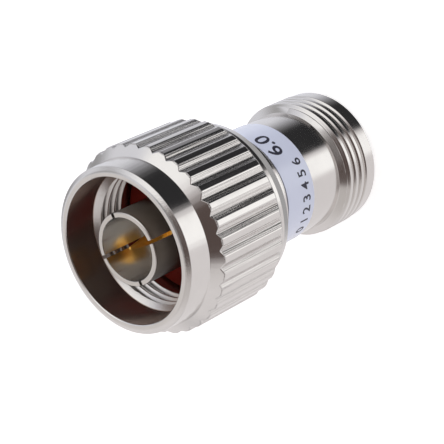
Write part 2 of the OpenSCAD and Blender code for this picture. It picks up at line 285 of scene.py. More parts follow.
def rounded(corners):
    """Open outline through corners (r, z, fillet, steps), as an array of (r, z).

    A fillet of radius e is the arc tangent to both sides of its corner P, P - d1 t + e (sin(u) d1 + (1 - cos(u)) n)
    for u from 0 to the corner's turn, where d1 is the way in, n is square to it and t is the arc's reach. A support
    point just past each end makes the sides shade flat.
    """
    points = np.array([corner[:2] for corner in corners], float)
    parts = [points[:1]]
    for before, corner, after in zip(points[:-2], corners[1:-1], points[2:]):
        at, fillet, steps = np.array(corner[:2], float), *(tuple(corner[2:]) + (0.0, 3)[len(corner) - 2:])
        if not fillet:
            parts.append(at[None])
            continue
        d1, d2 = (at - before) / np.linalg.norm(at - before), (after - at) / np.linalg.norm(after - at)
        turn = math.acos(np.clip(d1 @ d2, -1, 1))
        reach = fillet * math.tan(turn / 2)
        u = np.linspace(0, turn, int(steps) + 1)[:, None]
        side = (d2 - d1 * math.cos(turn)) / math.sin(turn)
        arc = at - d1 * reach + fillet * (np.sin(u) * d1 + (1 - np.cos(u)) * side)
        spare = 0.2 * reach
        parts += [(arc[0] - d1 * spare)[None], arc, (arc[-1] + d2 * spare)[None]]
    return np.concatenate(parts + [points[-1:]])


def grid_faces(rows, columns, close_rows=True, close_columns=True):
    """Quads between neighbouring rows and columns of a grid. Rows that run up an outside face outwards."""
    row = np.arange(rows if close_rows else rows - 1)[:, None]
    column = np.arange(columns if close_columns else columns - 1)[None]
    up, on = (row + 1) % rows, (column + 1) % columns
    quads = [row * columns + column, row * columns + on, up * columns + on, up * columns + column]
    return np.stack(np.broadcast_arrays(*quads), -1)


def turned(r, z, angle):
    """Points (r cos a, r sin a, z) of a turned surface, one for each row and column."""
    r, z, angle = np.broadcast_arrays(r, z, angle)
    return np.stack([r * np.cos(angle), r * np.sin(angle), z], -1).reshape(-1, 3)


def lathe(outline, columns=ROUND, poles=False):
    """Vertices and faces of an outline (r, z) carried round the axis: a ring, or a solid that starts and ends on it."""
    angle = np.arange(columns) * 2 * np.pi / columns
    r, z = outline[:, :1], outline[:, 1:]
    return turned(r, z, angle), grid_faces(len(outline), columns, close_rows=not poles).reshape(-1, 4).tolist()


def prism(section, low, high):
    """A flat outline (x, y) carried from one height to another, with a face at each end."""
    count = len(section)
    ring = np.arange(count)
    points = np.concatenate([np.column_stack([section, np.full(count, z)]) for z in (low, high)])
    sides = np.stack([ring, (ring + 1) % count, (ring + 1) % count + count, ring + count], -1)
    return points, sides.tolist() + [ring[::-1].tolist(), (ring + count).tolist()]


def slotted(outline, first, last, width, turn, poles=False, finger=44, across=4):
    """An outline carried round the axis with four slots of even width cut through its rows first to last.

    A column beside a slot keeps the distance width / 2 from the slot's middle plane at every radius r, so its angle
    from that plane is asin(width / 2 r). The columns of a finger share out the angle that is left.
    """
    rows, r = len(outline), outline[:, :1]
    edge = np.arcsin(np.clip(width / 2 / np.maximum(r, width), 0, 1))
    in_slot = np.linspace(-1, 1, across + 1)[:-1] * edge
    on_finger = edge + np.linspace(0, 1, finger + 1)[:-1] * (np.pi / 2 - 2 * edge)
    quarter = np.concatenate([in_slot, on_finger], 1)
    angle = turn + np.concatenate([quarter + k * np.pi / 2 for k in range(4)], 1)
    columns, step = angle.shape[1], quarter.shape[1]
    quads = grid_faces(rows, columns, close_rows=not poles)
    row, column = np.indices(quads.shape[:2])
    open_space = (row >= first) & (row < last) & (column % step < across)
    faces = quads[~open_space].tolist()
    finger_rows = np.arange(first, last + 1) * columns
    for k in range(4):
        near, far = k * step, k * step + across
        faces += [(finger_rows + near).tolist(), (finger_rows + far)[::-1].tolist()]
        floor = np.arange(near, far)
        faces += np.stack(
            [first * columns + floor, first * columns + floor + 1,
             last * columns + floor + 1, last * columns + floor], -1).tolist()
    return turned(r, outline[:, 1:], angle), faces


def jaws(radius, gap, low, high):
    """The two halves of a jaw: rounds cut flat on each side of a gap, each carried from one height to another."""
    start = math.asin(gap / 2 / radius)
    angle = np.linspace(start, np.pi - start, JAW_ROUND)
    half = radius * np.column_stack([np.cos(angle), np.sin(angle)])
    return [prism(half, low, high), prism(-half, low, high)]


def thread_height(phase, root, crest):
    """Height from 0 to 1 of a thread with flat root and crest, at a place counted in turns.

    It is |2 phase - 1| stretched between the two flats and clipped to them, averaged over a small part of a turn, which
    rounds its corners.
    """
    near = [np.abs(2 * ((phase + step) % 1) - 1) for step in np.linspace(-THREAD_BLUR, THREAD_BLUR, 5)]
    return np.mean(np.clip((np.array(near) - root) / (1 - root - crest), 0, 1), axis=0)


def smooth(value, low, high):
    """Eased step from 0 at low to 1 at high: p p (3 - 2 p), where p is the part of the way between them."""
    part = np.clip((value - low) / (high - low), 0, 1)
    return part * part * (3 - 2 * part)


def make_piece(name, parts, body, finish, nodes=()):
    """Puts vertices and faces into one mesh object that rides on a body and stands for the given solids."""
    points, faces, count = [], [], 0
    for part_points, part_faces in parts:
        points.append(part_points)
        faces += [[index + count for index in face] for face in part_faces] if count else part_faces
        count += len(part_points)
    mesh = bpy.data.meshes.new(name)
    mesh.from_pydata(np.concatenate(points), [], faces)
    merged = bmesh.new()
    merged.from_mesh(mesh)
    bmesh.ops.remove_doubles(merged, verts=merged.verts, dist=1e-8)
    merged.to_mesh(mesh)
    merged.free()
    mesh.shade_smooth()
    mesh.set_sharp_from_angle(angle=SHARP)
    mesh.materials.append(finish)
    piece = bpy.data.objects.new(name, mesh)
    bpy.context.scene.collection.objects.link(piece)
    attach(piece, body)
    if nodes:
        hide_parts(*nodes)


# Finishes


def add(tree, kind, inputs=None, **settings):
    """Adds a node with its settings. An input is a value, or the output of another node to link from."""
    made = tree.nodes.new("ShaderNode" + kind)
    for field, value in settings.items():
        setattr(made, field, value)
    for socket, value in (inputs or {}).items():
        if isinstance(value, bpy.types.NodeSocket):
            tree.links.new(value, made.inputs[socket])
        else:
            made.inputs[socket].default_value = value
    return made


def start_finish(name, **sockets):
    """Makes a material with one principled shader. Gives its tree, shader and Object coordinates."""
    material = bpy.data.materials.new(name)
    material.use_nodes = True
    tree = material.node_tree
    shader = tree.nodes["Principled BSDF"]
    for socket, value in sockets.items():
        shader.inputs[socket.replace("_", " ")].default_value = value
    return tree, shader, add(tree, "TexCoord").outputs["Object"]


# Part of a metal surface, between two radii and two heights, with its own roughness and, where given, its own colour,
# share of bare metal, and spacing and depth of a cutter's lines
Zone = namedtuple("Zone", "radii heights rough base metal cut", defaults=(None, None, None))


def turned_metal(name, base, rough, spread, spacing, depth, zones=()):
    """Plated or bare turned metal: fine rings as a lathe tool leaves them, and a surface a little duller in places
    from handling.

    The rings are noise on (distance from the axis, height), and a cutter's lines along the axis are noise on (x, y).
    """
    tree, shader, place = start_finish(name, Metallic=1.0)
    flat = add(tree, "VectorMath", {0: place, 1: (1, 1, 0.004)}, operation="MULTIPLY").outputs[0]
    radius = add(tree, "VectorMath", {0: flat}, operation="LENGTH").outputs["Value"]
    height = add(tree, "SeparateXYZ", {0: place}).outputs["Z"]
    across = add(tree, "CombineXYZ", {"X": radius, "Y": height}).outputs[0]
    rings = add(tree, "TexNoise", {"Vector": across, "Scale": 1 / spacing, "Detail": 2.0}).outputs["Fac"]
    patches = add(tree, "TexNoise", {"Vector": place, "Scale": 1 / (2.5 * MM), "Detail": 3.0}).outputs["Fac"]
    tint = add(tree, "Mix", {
        "Factor": patches, 6: (*base, 1), 7: (*np.array(base) * 0.94, 1)}, data_type="RGBA").outputs[2]
    dull = add(tree, "MapRange", {
        "Value": patches, "From Min": 0.35, "From Max": 0.7, "To Min": rough, "To Max": rough + spread}).outputs[0]
    relief = add(tree, "Math", {0: rings, 1: depth}, operation="MULTIPLY").outputs[0]
    for zone in zones:
        # 1 where both the radius and the height lie between the zone's limits, and 0 elsewhere
        around, along = (
            add(tree, "Math", {0: value, 1: (low + high) / 2, 2: (high - low) / 2}, operation="COMPARE").outputs[0]
            for value, (low, high) in ((radius, zone.radii), (height, zone.heights)))
        here = add(tree, "Math", {0: around, 1: along}, operation="MULTIPLY").outputs[0]
        dull = add(tree, "Mix", {"Factor": here, 2: dull, 3: zone.rough}).outputs[0]
        if zone.base:
            tint = add(tree, "Mix", {"Factor": here, 6: tint, 7: (*zone.base, 1)}, data_type="RGBA").outputs[2]
        if zone.metal:
            bare = add(tree, "Mix", {"Factor": here, 2: 1.0, 3: zone.metal}).outputs[0]
            tree.links.new(bare, shader.inputs["Metallic"])
        if zone.cut:
            lines = add(tree, "TexNoise", {"Vector": flat, "Scale": 1 / zone.cut[0], "Detail": 3.0}).outputs["Fac"]
            lines = add(tree, "Math", {0: lines, 1: zone.cut[1]}, operation="MULTIPLY").outputs[0]
            relief = add(tree, "Mix", {"Factor": here, 2: relief, 3: lines}).outputs[0]
    bump = add(tree, "Bump", {"Height": relief, "Strength": 1.0, "Distance": 1.0})
    tree.links.new(tint, shader.inputs["Base Color"])
    tree.links.new(dull, shader.inputs["Roughness"])
    tree.links.new(bump.outputs[0], shader.inputs["Normal"])


def dull_solid(name, base, rough, grain, depth, shade, **sockets):
    """A moulded, turned or printed material: fine grain, and patches whose colour is the rest's times a shade."""
    tree, shader, place = start_finish(name, **sockets)
    fine = add(tree, "TexNoise", {"Vector": place, "Scale": 1 / grain, "Detail": 4.0})
    patches = add(tree, "TexNoise", {"Vector": place, "Scale": 0.12 / grain, "Detail": 2.0})
    tint = add(tree, "Mix", {
        "Factor": patches.outputs["Fac"], 6: (*base, 1), 7: (*np.array(base) * shade, 1)}, data_type="RGBA")
    dull = add(tree, "MapRange", {"Value": fine.outputs["Fac"], "To Min": rough - 0.1, "To Max": rough + 0.1})
    bump = add(tree, "Bump", {"Height": fine.outputs["Fac"], "Strength": 1.0, "Distance": depth})
    tree.links.new(tint.outputs[2], shader.inputs["Base Color"])
    tree.links.new(dull.outputs[0], shader.inputs["Roughness"])
    tree.links.new(bump.outputs[0], shader.inputs["Normal"])


def chip_ceramic(name, base, film, half_width):
    """Fired alumina with a dark resistive film along its middle, between its earthed edges."""
    tree, shader, place = start_finish(name, Roughness=0.5)
    axis = add(tree, "SeparateXYZ", {0: place})
    across = add(tree, "Math", {0: axis.outputs["X"]}, operation="ABSOLUTE")
    grain = add(tree, "TexNoise", {"Vector": place, "Scale": 1 / (0.15 * MM), "Detail": 3.0})
    body = add(tree, "Mix", {
        "Factor": grain.outputs["Fac"], 6: (*base, 1), 7: (*np.array(base) * 0.88, 1)}, data_type="RGBA")
    inside = add(tree, "MapRange", {
        "Value": across.outputs[0], "From Min": half_width, "From Max": half_width * 1.03,
        "To Min": 1.0, "To Max": 0.0})
    tint = add(tree, "Mix", {"Factor": inside.outputs[0], 6: body.outputs[2], 7: (*film, 1)}, data_type="RGBA")
    tree.links.new(tint.outputs[2], shader.inputs["Base Color"])


def finishes(scene):
    """Every finish by name, made once."""
    if "nickel on turned body" in bpy.data.materials:
        return bpy.data.materials
    hue, nut, plug, line = (getattr(scene, "attenuator_" + part) for part in ("colours", "nut", "plug", "line"))
    floor_r, fluted_top = NUT_R - nut.flute_depth, NUT_TOP - nut.collar_l - 0.9 * nut.shoulder_l
    relief_low = SEAT_Z - nut.relief_past
    bright = {"rough": 0.12, "spread": 0.06, "spacing": 0.12 * MM, "depth": 0.001 * MM}
    # Bright nickel over turned brass: a soft mirror with faint rings and slightly warm light.
    turned_metal("nickel on turned body", hue.body, **bright)
    # On the nut, the flutes keep their cutter's lines and the rim its grain, and the inside is duller. Its deep walls
    # are given a darker, browner colour, which is painted shade, and a small share that is not bare metal, which makes
    # them a little hazy. Real lines are a few micrometres deep and a few hundredths of a millimetre apart, too fine to
    # show here, so they are drawn as coarse as they need to be. Each zone reaches a little past the surface that it
    # covers.
    turned_metal("nickel on milled nut", hue.nut, **bright, zones=(
        Zone((floor_r - 0.1 * MM, NUT_R - 0.05 * MM), (NUT_LOW, fluted_top), 0.22, cut=(0.25 * MM, 0.22 * MM)),
        Zone((nut.bore_r + 0.02 * MM, nut.collar_r + 0.1 * MM), (NUT_TOP - nut.rim, NUT_TOP + MM), 0.18,
             cut=(0.14 * MM, 0.012 * MM)),
        Zone((0, nut.relief_r + 0.2 * MM), (relief_low, NUT_TOP - 0.2 * MM), 0.26),
        # The bore's darker, browner colour is painted shade
        Zone((nut.bore_r - 0.06 * MM, nut.relief_r + 0.06 * MM), (relief_low, NUT_TOP - 0.1 * MM), 0.24, hue.bore,
             metal=0.9)))
    # White bronze: greyer than nickel. Where it was reamed, inside, it is smooth and its colour is lighter than the
    # metal's own,
    #     # painted light in the deep bore; where it was turned, outside, it is satin and its colour is darker, painted
    #     shade.
    turned_metal("white bronze on turned sleeve", hue.sleeve, rough=0.18, spread=0.06, spacing=0.15 * MM,
                 depth=0.008 * MM, zones=(
        Zone((plug.sleeve_r - 0.1 * MM, line.cup_r + MM), (CUP_LOW, SLEEVE_TOP - plug.nose), 0.3, hue.sleeve_side_painted_shade),
        Zone((0, line.wall_r + 0.1 * MM), (CUP_LOW, SLEEVE_TOP - 0.1 * MM), 0.2, hue.sleeve_bore_painted_light)))
    # Gold plating over turned contacts: deep yellow with a soft shine.
    turned_metal("gold on turned contact", hue.gold, rough=0.28, spread=0.08, spacing=0.08 * MM, depth=0.001 * MM)
    # Bare turned brass: a greenish yellow sheen, with the tool's rings left in it.
    turned_metal("turned brass", hue.brass, rough=0.22, spread=0.10, spacing=0.12 * MM, depth=0.0008 * MM)
    # Bare spring bronze: brown and dull, as it was drawn.
    turned_metal("spring bronze", hue.bronze, rough=0.28, spread=0.10, spacing=0.15 * MM, depth=0.001 * MM)
    # Moulded silicone: matt, dark red, with the faint grain of its mould.
    dull_solid("moulded red silicone", hue.gasket, rough=0.55, grain=0.12 * MM, depth=0.004 * MM, shade=0.75)
    # Turned fluoropolymer: waxy white.
    dull_solid("turned fluoropolymer", hue.ptfe, rough=0.45, grain=0.2 * MM, depth=0.002 * MM, shade=0.93)
    # Printed polyester film: smooth with a slight ripple where it is stuck down, under a clear gloss.
    dull_solid("printed label film", hue.film, rough=0.38, grain=0.25 * MM, depth=0.002 * MM, shade=0.95,
               Coat_Weight=1.0, Coat_Roughness=0.12)
    # Printing ink: matt, a little uneven.
    dull_solid("printing ink", hue.ink, rough=0.5, grain=0.08 * MM, depth=0.001 * MM, shade=1.5)
    # Fired alumina: matt and off-white, with a dark printed film.
    chip_ceramic("alumina with resistive film", hue.alumina, hue.resist, half_width=2.6 * MM)
    return bpy.data.materials


# Pieces


class ATTENUATOR_OT_jack(bpy.types.Operator):
    """Build the jack's body: thread, conical shoulder and the lower half of the barrel"""

    bl_idname = "attenuator.jack"
    bl_label = "Jack body"

    def execute(self, context):
        """Along the thread the outside is r = min(thread radius - depth (1 - height(z / pitch - a / turn)), cone)."""
        jack, line, thread = (getattr(context.scene, "attenuator_" + part) for part in ("jack", "line", "thread"))
        spigot, bead = jack.spigot_r + line.fit, line.bead_r + line.fit
        slope, ring_r = (THREAD_R - BARREL_R) / jack.shoulder, THREAD_R - jack.ring_step
        run_out = thread.end + thread.depth / slope
        outline = rounded([
            (THREAD_R - thread.depth, run_out), (BARREL_R, thread.end + jack.shoulder, EDGE),
            (BARREL_R, SEAM_Z, EDGE), (spigot, SEAM_Z), (spigot, CHAMBER_LOW), (bead, CHAMBER_LOW),
            (bead, JACK_BEAD_LOW), (line.wall_r, JACK_BEAD_LOW), (line.wall_r, jack.bore_l, EDGE),
            (jack.bore_r, jack.bore_l), (jack.bore_r, jack.mouth, EDGE), (jack.bore_r + jack.mouth, 0, EDGE),
            (ring_r - jack.chamfer, 0, EDGE), (ring_r, jack.chamfer, EDGE), (ring_r, thread.lead),
        ])
        angle = np.arange(JACK_ROUND) * 2 * np.pi / JACK_ROUND
        z = np.linspace(thread.lead, run_out, JACK_THREAD_ROWS)[1:-1, None]
        height = thread_height(z / thread.pitch - angle / (2 * np.pi), thread.root, thread.crest)
        sunk = thread.depth * (1 - height) * smooth(z, thread.lead, thread.lead + thread.fade)
        cone = THREAD_R - np.maximum(z - thread.end, 0) * slope
        r = np.concatenate([
            np.broadcast_to(outline[:, :1], (len(outline), JACK_ROUND)), np.minimum(THREAD_R - sunk, cone)])
        z = np.concatenate([outline[:, 1:], z])
        faces = grid_faces(len(r), JACK_ROUND).reshape(-1, 4).tolist()
        make_piece("jack_shell", [(turned(r, z, angle), faces)], "barrel",
                   finishes(context.scene)["nickel on turned body"], ["jack_body"])
        return {"FINISHED"}


class ATTENUATOR_OT_barrel(bpy.types.Operator):
    """Build the upper half of the barrel, which carries the nut, the gasket and the sleeve"""

    bl_idname = "attenuator.barrel"
    bl_label = "Barrel"

    def execute(self, context):
        """A closed outline carried round the axis."""
        jack, line, nut = (getattr(context.scene, "attenuator_" + part) for part in ("jack", "line", "nut"))
        chamber, cup_top = line.cup_r + line.fit, PLUG_BEAD_TOP + line.cup_step
        low, high = RING_LOW - nut.groove_play, RING_TOP + nut.groove_play
        outline = rounded([
            (chamber, SPIGOT_LOW), (jack.spigot_r, SPIGOT_LOW, EDGE), (jack.spigot_r, SEAM_Z), (BARREL_R, SEAM_Z, EDGE),
            (BARREL_R, low), (nut.seat_r, low), (nut.seat_r, high), (BARREL_R, high), (BARREL_R, SEAT_Z, EDGE),
            (line.root_r + line.fit, SEAT_Z), (line.root_r + line.fit, cup_top), (chamber, cup_top),
            (chamber, SPIGOT_LOW + 0.1 * MM),
        ])
        make_piece("barrel_shell", [lathe(outline)], "barrel",
                   finishes(context.scene)["nickel on turned body"], ["plug_body"])
        return {"FINISHED"}


class ATTENUATOR_OT_nut(bpy.types.Operator):
    """Build the fluted coupling nut with its thread, relief and ring groove"""

    bl_idname = "attenuator.nut"
    bl_label = "Coupling nut"

    def execute(self, context):
        """Each column of the outside runs straight at its own radius f(a), the flutes' section, and its two corners
        slide along the rear slope and the front cone to that radius. Inside, r = max(lead-in cone, thread)."""
        nut, thread = context.scene.attenuator_nut, context.scene.attenuator_thread
        angle, fluted = self.flutes(nut)
        shoulder_z, boss_z = NUT_TOP - nut.collar_l, NUT_LOW + nut.boss_l
        rear_z = boss_z + nut.rear_l
        lead_z = NUT_TOP - nut.bore_l
        cone_z = lead_z - (nut.bore_r - nut.minor_r)
        thread_z, relief_z = cone_z - nut.thread_l, SEAT_Z - nut.relief_past
        guide, slope = BARREL_R + nut.gap, nut.shoulder_l / (NUT_R - nut.collar_r)

        rear_corner = rounded([(-1, -1), (0, 0, nut.flute_end), (0, 1)])[1:-1, :, None]
        front_corner = rounded([(0, -1), (0, 0, nut.flute_end), (-1, slope)])[1:-1, :, None]
        sides = np.concatenate([
            rear_corner + np.stack([fluted, rear_z + fluted - nut.rear_r])[None],
            front_corner + np.stack([fluted, shoulder_z - (fluted - nut.collar_r) * slope])[None]])
        front = rounded([
            (nut.collar_r + MM, shoulder_z - MM * slope), (nut.collar_r, shoulder_z, SOFT_EDGE),
            (nut.rim_r, NUT_TOP - nut.rim, CORNER), (nut.rim_r - nut.rim_w, NUT_TOP, nut.crown, 8),
            (nut.bore_r + nut.mouth, NUT_TOP, EDGE / 2),
            (nut.bore_r, NUT_TOP - nut.mouth, EDGE / 2), (nut.bore_r, lead_z, EDGE), (nut.minor_r, cone_z)])[1:-1]
        inside_z = np.linspace(cone_z + thread.fade, thread_z, NUT_THREAD_ROWS)[:, None]
        height = thread_height(inside_z / thread.pitch - angle / (2 * np.pi), thread.inner_root, thread.inner_crest)
        sunk = thread.inner_depth * (1 - height) * smooth(-inside_z, -cone_z - thread.fade, thread.fade - cone_z)
        inside_r = np.maximum(nut.minor_r + sunk, nut.minor_r + inside_z - cone_z)
        ring_low, ring_high = RING_LOW - nut.groove_play, RING_TOP + nut.groove_play
        back = rounded([
            (nut.relief_r, thread_z), (nut.relief_r, relief_z), (guide, relief_z), (guide, ring_high),
            (nut.groove_r, ring_high), (nut.groove_r, ring_low), (guide, ring_low), (guide, NUT_LOW),
            (nut.boss_r, NUT_LOW, SOFT_EDGE), (nut.boss_r, boss_z, CORNER), (nut.rear_end_r, boss_z, SOFT_EDGE),
            (nut.rear_r, boss_z + nut.rear_taper, nut.rear_round), (nut.rear_r, rear_z, ROUND_EDGE),
            (nut.rear_r + MM, rear_z + MM)])[:-1]
        front, back = (
            np.broadcast_to(outline[:, :, None], (*outline.shape, len(angle))) for outline in (front, back))
        inside = np.stack([inside_r, np.broadcast_to(inside_z, inside_r.shape)], 1)
        grid = np.concatenate([sides, front, inside, back])
        faces = grid_faces(len(grid), len(angle)).reshape(-1, 4).tolist()
        make_piece("nut_shell", [(turned(grid[:, 0], grid[:, 1], angle), faces)], "nut",
                   finishes(context.scene)["nickel on milled nut"], ["coupling_nut"])
        return {"FINISHED"}

    def flutes(self, nut):
        """Angle and radius of each column: a land, a flank, a rounded valley and a flank for each flute."""
        pitch = 2 * math.pi * NUT_R / nut.flutes
        section = rounded([
            (-pitch / 2, 0), (-nut.flute_w / 2, 0, nut.land_round, 2), (0, -nut.flute_depth, SOFT_EDGE, 4),
            (nut.flute_w / 2, 0, nut.land_round, 2), (pitch / 2, 0)])[:-1]
        turns = nut.turn + np.arange(nut.flutes)[:, None] * 2 * np.pi / nut.flutes
        return (turns + section[:, 0] / NUT_R).ravel(), np.tile(NUT_R + section[:, 1], nut.flutes)


class ATTENUATOR_OT_sleeve(bpy.types.Operator):
    """Build the plug's slotted sleeve on the cup that holds the bead"""

    bl_idname = "attenuator.sleeve"
    bl_label = "Slotted sleeve"

    def execute(self, context):
        """A closed outline carried round the axis, with four slots of even width."""
        plug, line = context.scene.attenuator_plug, context.scene.attenuator_line
        bead = line.bead_r + line.fit
        cup_top, floor = PLUG_BEAD_TOP + line.cup_step, SLEEVE_TOP - plug.slot_l
        low = rounded([
            (bead, CUP_LOW), (line.cup_r, CUP_LOW, EDGE), (line.cup_r, cup_top, EDGE), (line.root_r, cup_top),
            (line.root_r, GASKET_TOP, EDGE), (plug.sleeve_r, GASKET_TOP), (plug.sleeve_r, floor)])
        high = rounded([
            (plug.sleeve_r, floor), (plug.sleeve_r, SLEEVE_TOP, plug.nose, 5), (line.wall_r, SLEEVE_TOP, EDGE),
            (line.wall_r, floor)])
        inner = rounded([(line.wall_r, floor), (line.wall_r, PLUG_BEAD_TOP), (bead, PLUG_BEAD_TOP), (bead, CUP_LOW)])
        outline = np.concatenate([low[:-1], high, inner[1:-1]])
        first = len(low) - 1
        shape = slotted(outline, first, first + len(high) - 1, plug.slot_w, plug.turn)
        make_piece("slotted_sleeve", [shape], "barrel",
                   finishes(context.scene)["white bronze on turned sleeve"], ["plug_sleeve"])
        return {"FINISHED"}


class ATTENUATOR_OT_contacts(bpy.types.Operator):
    """Build the pin and the slotted socket contact, each with the jaw that grips the chip"""

    bl_idname = "attenuator.contacts"
    bl_label = "Centre contacts"

    def execute(self, context):
        """Outlines carried round the axis from pole to pole, each with the two halves of its jaw."""
        plug, line, jack = (getattr(context.scene, "attenuator_" + part) for part in ("plug", "line", "jack"))
        gold = finishes(context.scene)["gold on turned contact"]
        foot = PLUG_JAW_LOW + line.jaw_l
        pin = rounded([
            (0, foot), (line.core_r, foot), (line.core_r, PLUG_BEAD_TOP), (line.centre_r, PLUG_BEAD_TOP),
            (line.centre_r, SLEEVE_TOP - plug.shoulder, ROUND_EDGE), (plug.pin_r, SLEEVE_TOP - plug.shoulder, EDGE),
            (plug.pin_r, PIN_TOP - plug.taper, plug.taper_round, 6), (plug.tip_r, PIN_TOP, CORNER, 4), (0, PIN_TOP)])
        grips = jaws(line.core_r, line.jaw_gap, PLUG_JAW_LOW, foot)
        make_piece("pin", [lathe(pin, PIN_ROUND, poles=True), *grips], "barrel", gold, ["plug_pin"])

        head = JACK_JAW_TOP - line.jaw_l
        slot_top, hole_top = SOCKET_LOW + jack.slot_l, SOCKET_LOW + jack.hole_l
        hole = rounded([(0, hole_top), (jack.hole_r, hole_top), (jack.hole_r, slot_top)])
        mouth = rounded([
            (jack.hole_r, slot_top), (jack.hole_r, SOCKET_LOW, SOFT_EDGE), (line.centre_r, SOCKET_LOW, SOFT_EDGE),
            (line.centre_r, slot_top)])
        stem = rounded([
            (line.centre_r, slot_top), (line.centre_r, JACK_BEAD_LOW, EDGE), (line.core_r, JACK_BEAD_LOW),
            (line.core_r, head), (0, head)])
        first = len(hole) - 1
        shape = slotted(
            np.concatenate([hole[:-1], mouth, stem[1:]]), first, first + len(mouth) - 1, jack.slot_w,
            jack.slot_turn, poles=True, finger=20)
        grips = jaws(line.core_r, line.jaw_gap, head, JACK_JAW_TOP)
        make_piece("socket", [shape, *grips], "barrel", gold, ["jack_contact"])
        return {"FINISHED"}


class ATTENUATOR_OT_insulators(bpy.types.Operator):
    """Build the gasket and the two insulating beads"""

    bl_idname = "attenuator.insulators"
    bl_label = "Gasket and beads"

    def execute(self, context):
        """Rings with broken edges, each a closed outline carried round the axis. The plug's bead has a long nose."""
        line = context.scene.attenuator_line
        finish = finishes(context.scene)
        core, wall = line.core_r + line.fit, line.wall_r - line.fit
        hole, rim = line.root_r + line.fit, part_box("gasket")[1].x
        gasket = [
            (hole, SEAT_Z), (rim, SEAT_Z, ROUND_EDGE), (rim, GASKET_TOP, ROUND_EDGE), (hole, GASKET_TOP, ROUND_EDGE),
            (hole, SEAT_Z)]
        plug_bead = [
            (core, PLUG_BEAD_LOW), (line.bead_r, PLUG_BEAD_LOW, EDGE), (line.bead_r, PLUG_BEAD_TOP, EDGE),
            (wall, PLUG_BEAD_TOP), (wall, NOSE_TOP, EDGE), (line.centre_r + line.fit, NOSE_TOP, EDGE),
            (line.centre_r + line.fit, PLUG_BEAD_TOP), (core, PLUG_BEAD_TOP), (core, PLUG_BEAD_LOW)]
        jack_bead = [
            (core, JACK_BEAD_LOW), (line.bead_r, JACK_BEAD_LOW, EDGE), (line.bead_r, JACK_BEAD_TOP, EDGE),
            (core, JACK_BEAD_TOP), (core, JACK_BEAD_LOW)]
        for name, node, corners, slot, look in (
                ("gasket_ring", "gasket", gasket, "silicone", "moulded red silicone"),
                ("plug_insulator", "plug_bead", plug_bead, "ptfe", "turned fluoropolymer"),
                ("jack_insulator", "jack_bead", jack_bead, "ptfe", "turned fluoropolymer")):
            make_piece(name, [lathe(rounded(corners)[:-1])], "barrel", finish[look], [node])
        return {"FINISHED"}


class ATTENUATOR_OT_label(bpy.types.Operator):
    """Build the film label round the barrel and its printed numbers"""

    bl_idname = "attenuator.label"
    bl_label = "Label"

    def execute(self, context):
        """A thin outline carried round the axis from one end of the label to the other, with the figures wrapped on it
        by a = a0 + x / r."""
        label, finish = context.scene.attenuator_label, finishes(context.scene)
        inner, outer = BARREL_R + label.glue, BARREL_R + label.glue + label.film
        outline = rounded([
            (inner, LABEL_LOW), (outer, LABEL_LOW, label.edge), (outer, LABEL_TOP, label.edge), (inner, LABEL_TOP)])
        half_gap = math.asin(label.gap / 2 / inner)
        angle = np.pi / 2 + np.linspace(half_gap, 2 * np.pi - half_gap, LABEL_ROUND)
        rows, columns = len(outline), len(angle)
        ends = np.arange(rows) * columns
        faces = grid_faces(rows, columns, close_columns=False).reshape(-1, 4).tolist()
        faces += [ends.tolist(), (ends + columns - 1)[::-1].tolist()]
        make_piece("label_film", [(turned(outline[:, :1], outline[:, 1:], angle), faces)], "barrel",
                   finish["printed label film"], ["label"])
        for name, words, height, turn, foot in (
                ("large_figures", label.large, label.large_h, label.large_turn, label.large_z),
                ("small_figures", label.small, label.small_h, label.small_turn, label.small_z)):
            flat, faces = self.figures(words, height, label.ink, label.bold)
            points = turned(outer + flat[:, 2], LABEL_LOW + foot + flat[:, 1], turn + flat[:, 0] / outer)
            make_piece(name, [(points, faces)], "barrel", finish["printing ink"])
        return {"FINISHED"}

    def figures(self, words, height, depth, bold, strip=0.1):
        """Figures as a flat mesh, centred on x = 0, cut into strips that are narrow enough to wrap round the barrel.

        They are set and cut at size 1, then scaled to their height.
        """
        text = bpy.data.curves.new("figures", "FONT")
        text.body, text.align_x, text.size, text.extrude = words, "CENTER", 1.0, 0.1
        text.resolution_u, text.offset = 4, bold
        source = bpy.data.objects.new("figures", text)
        bpy.context.scene.collection.objects.link(source)
        mesh = bpy.data.meshes.new_from_object(source.evaluated_get(bpy.context.evaluated_depsgraph_get()))
        bpy.data.objects.remove(source)
        bpy.data.curves.remove(text)
        x = self.points(mesh)[:, 0]
        cut = bmesh.new()
        cut.from_mesh(mesh)
        bmesh.ops.remove_doubles(cut, verts=cut.verts, dist=1e-5)
        for at in np.arange(x.min() + strip, x.max(), strip):
            bmesh.ops.bisect_plane(
                cut, geom=cut.verts[:] + cut.edges[:] + cut.faces[:], plane_co=(at, 0, 0), plane_no=(1, 0, 0))
        cut.to_mesh(mesh)
        cut.free()
        points = self.points(mesh)
        points *= height / points[:, 1].max()
        points[:, 2] = np.where(points[:, 2] > 0, depth, -depth)
        faces = [list(face.vertices) for face in mesh.polygons]
        bpy.data.meshes.remove(mesh)
        return points, faces

    def points(self, mesh):
        """A mesh's vertices as rows of (x, y, z)."""
        flat = np.empty(len(mesh.vertices) * 3, np.float32)
        mesh.vertices.foreach_get("co", flat)
        return flat.reshape(-1, 3).astype(float)


class ATTENUATOR_OT_inside(bpy.types.Operator):
    """Give the solids that stay as they are their finishes"""

    bl_idname = "attenuator.inside"
    bl_label = "Inner pieces"

    def execute(self, context):
        """One finish for each solid."""
        finish = finishes(context.scene)
        looks = {
            "retaining_ring": "spring bronze", "plug_lock_ring": "turned brass", "jack_lock_ring": "turned brass",
            "ground_half_front": "turned brass", "ground_half_rear": "turned brass",
            "attenuator_chip": "alumina with resistive film"}
        for node, look in looks.items():
            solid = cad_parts[node]
            solid.data.materials.clear()
            solid.data.materials.append(finish[look])
        return {"FINISHED"}


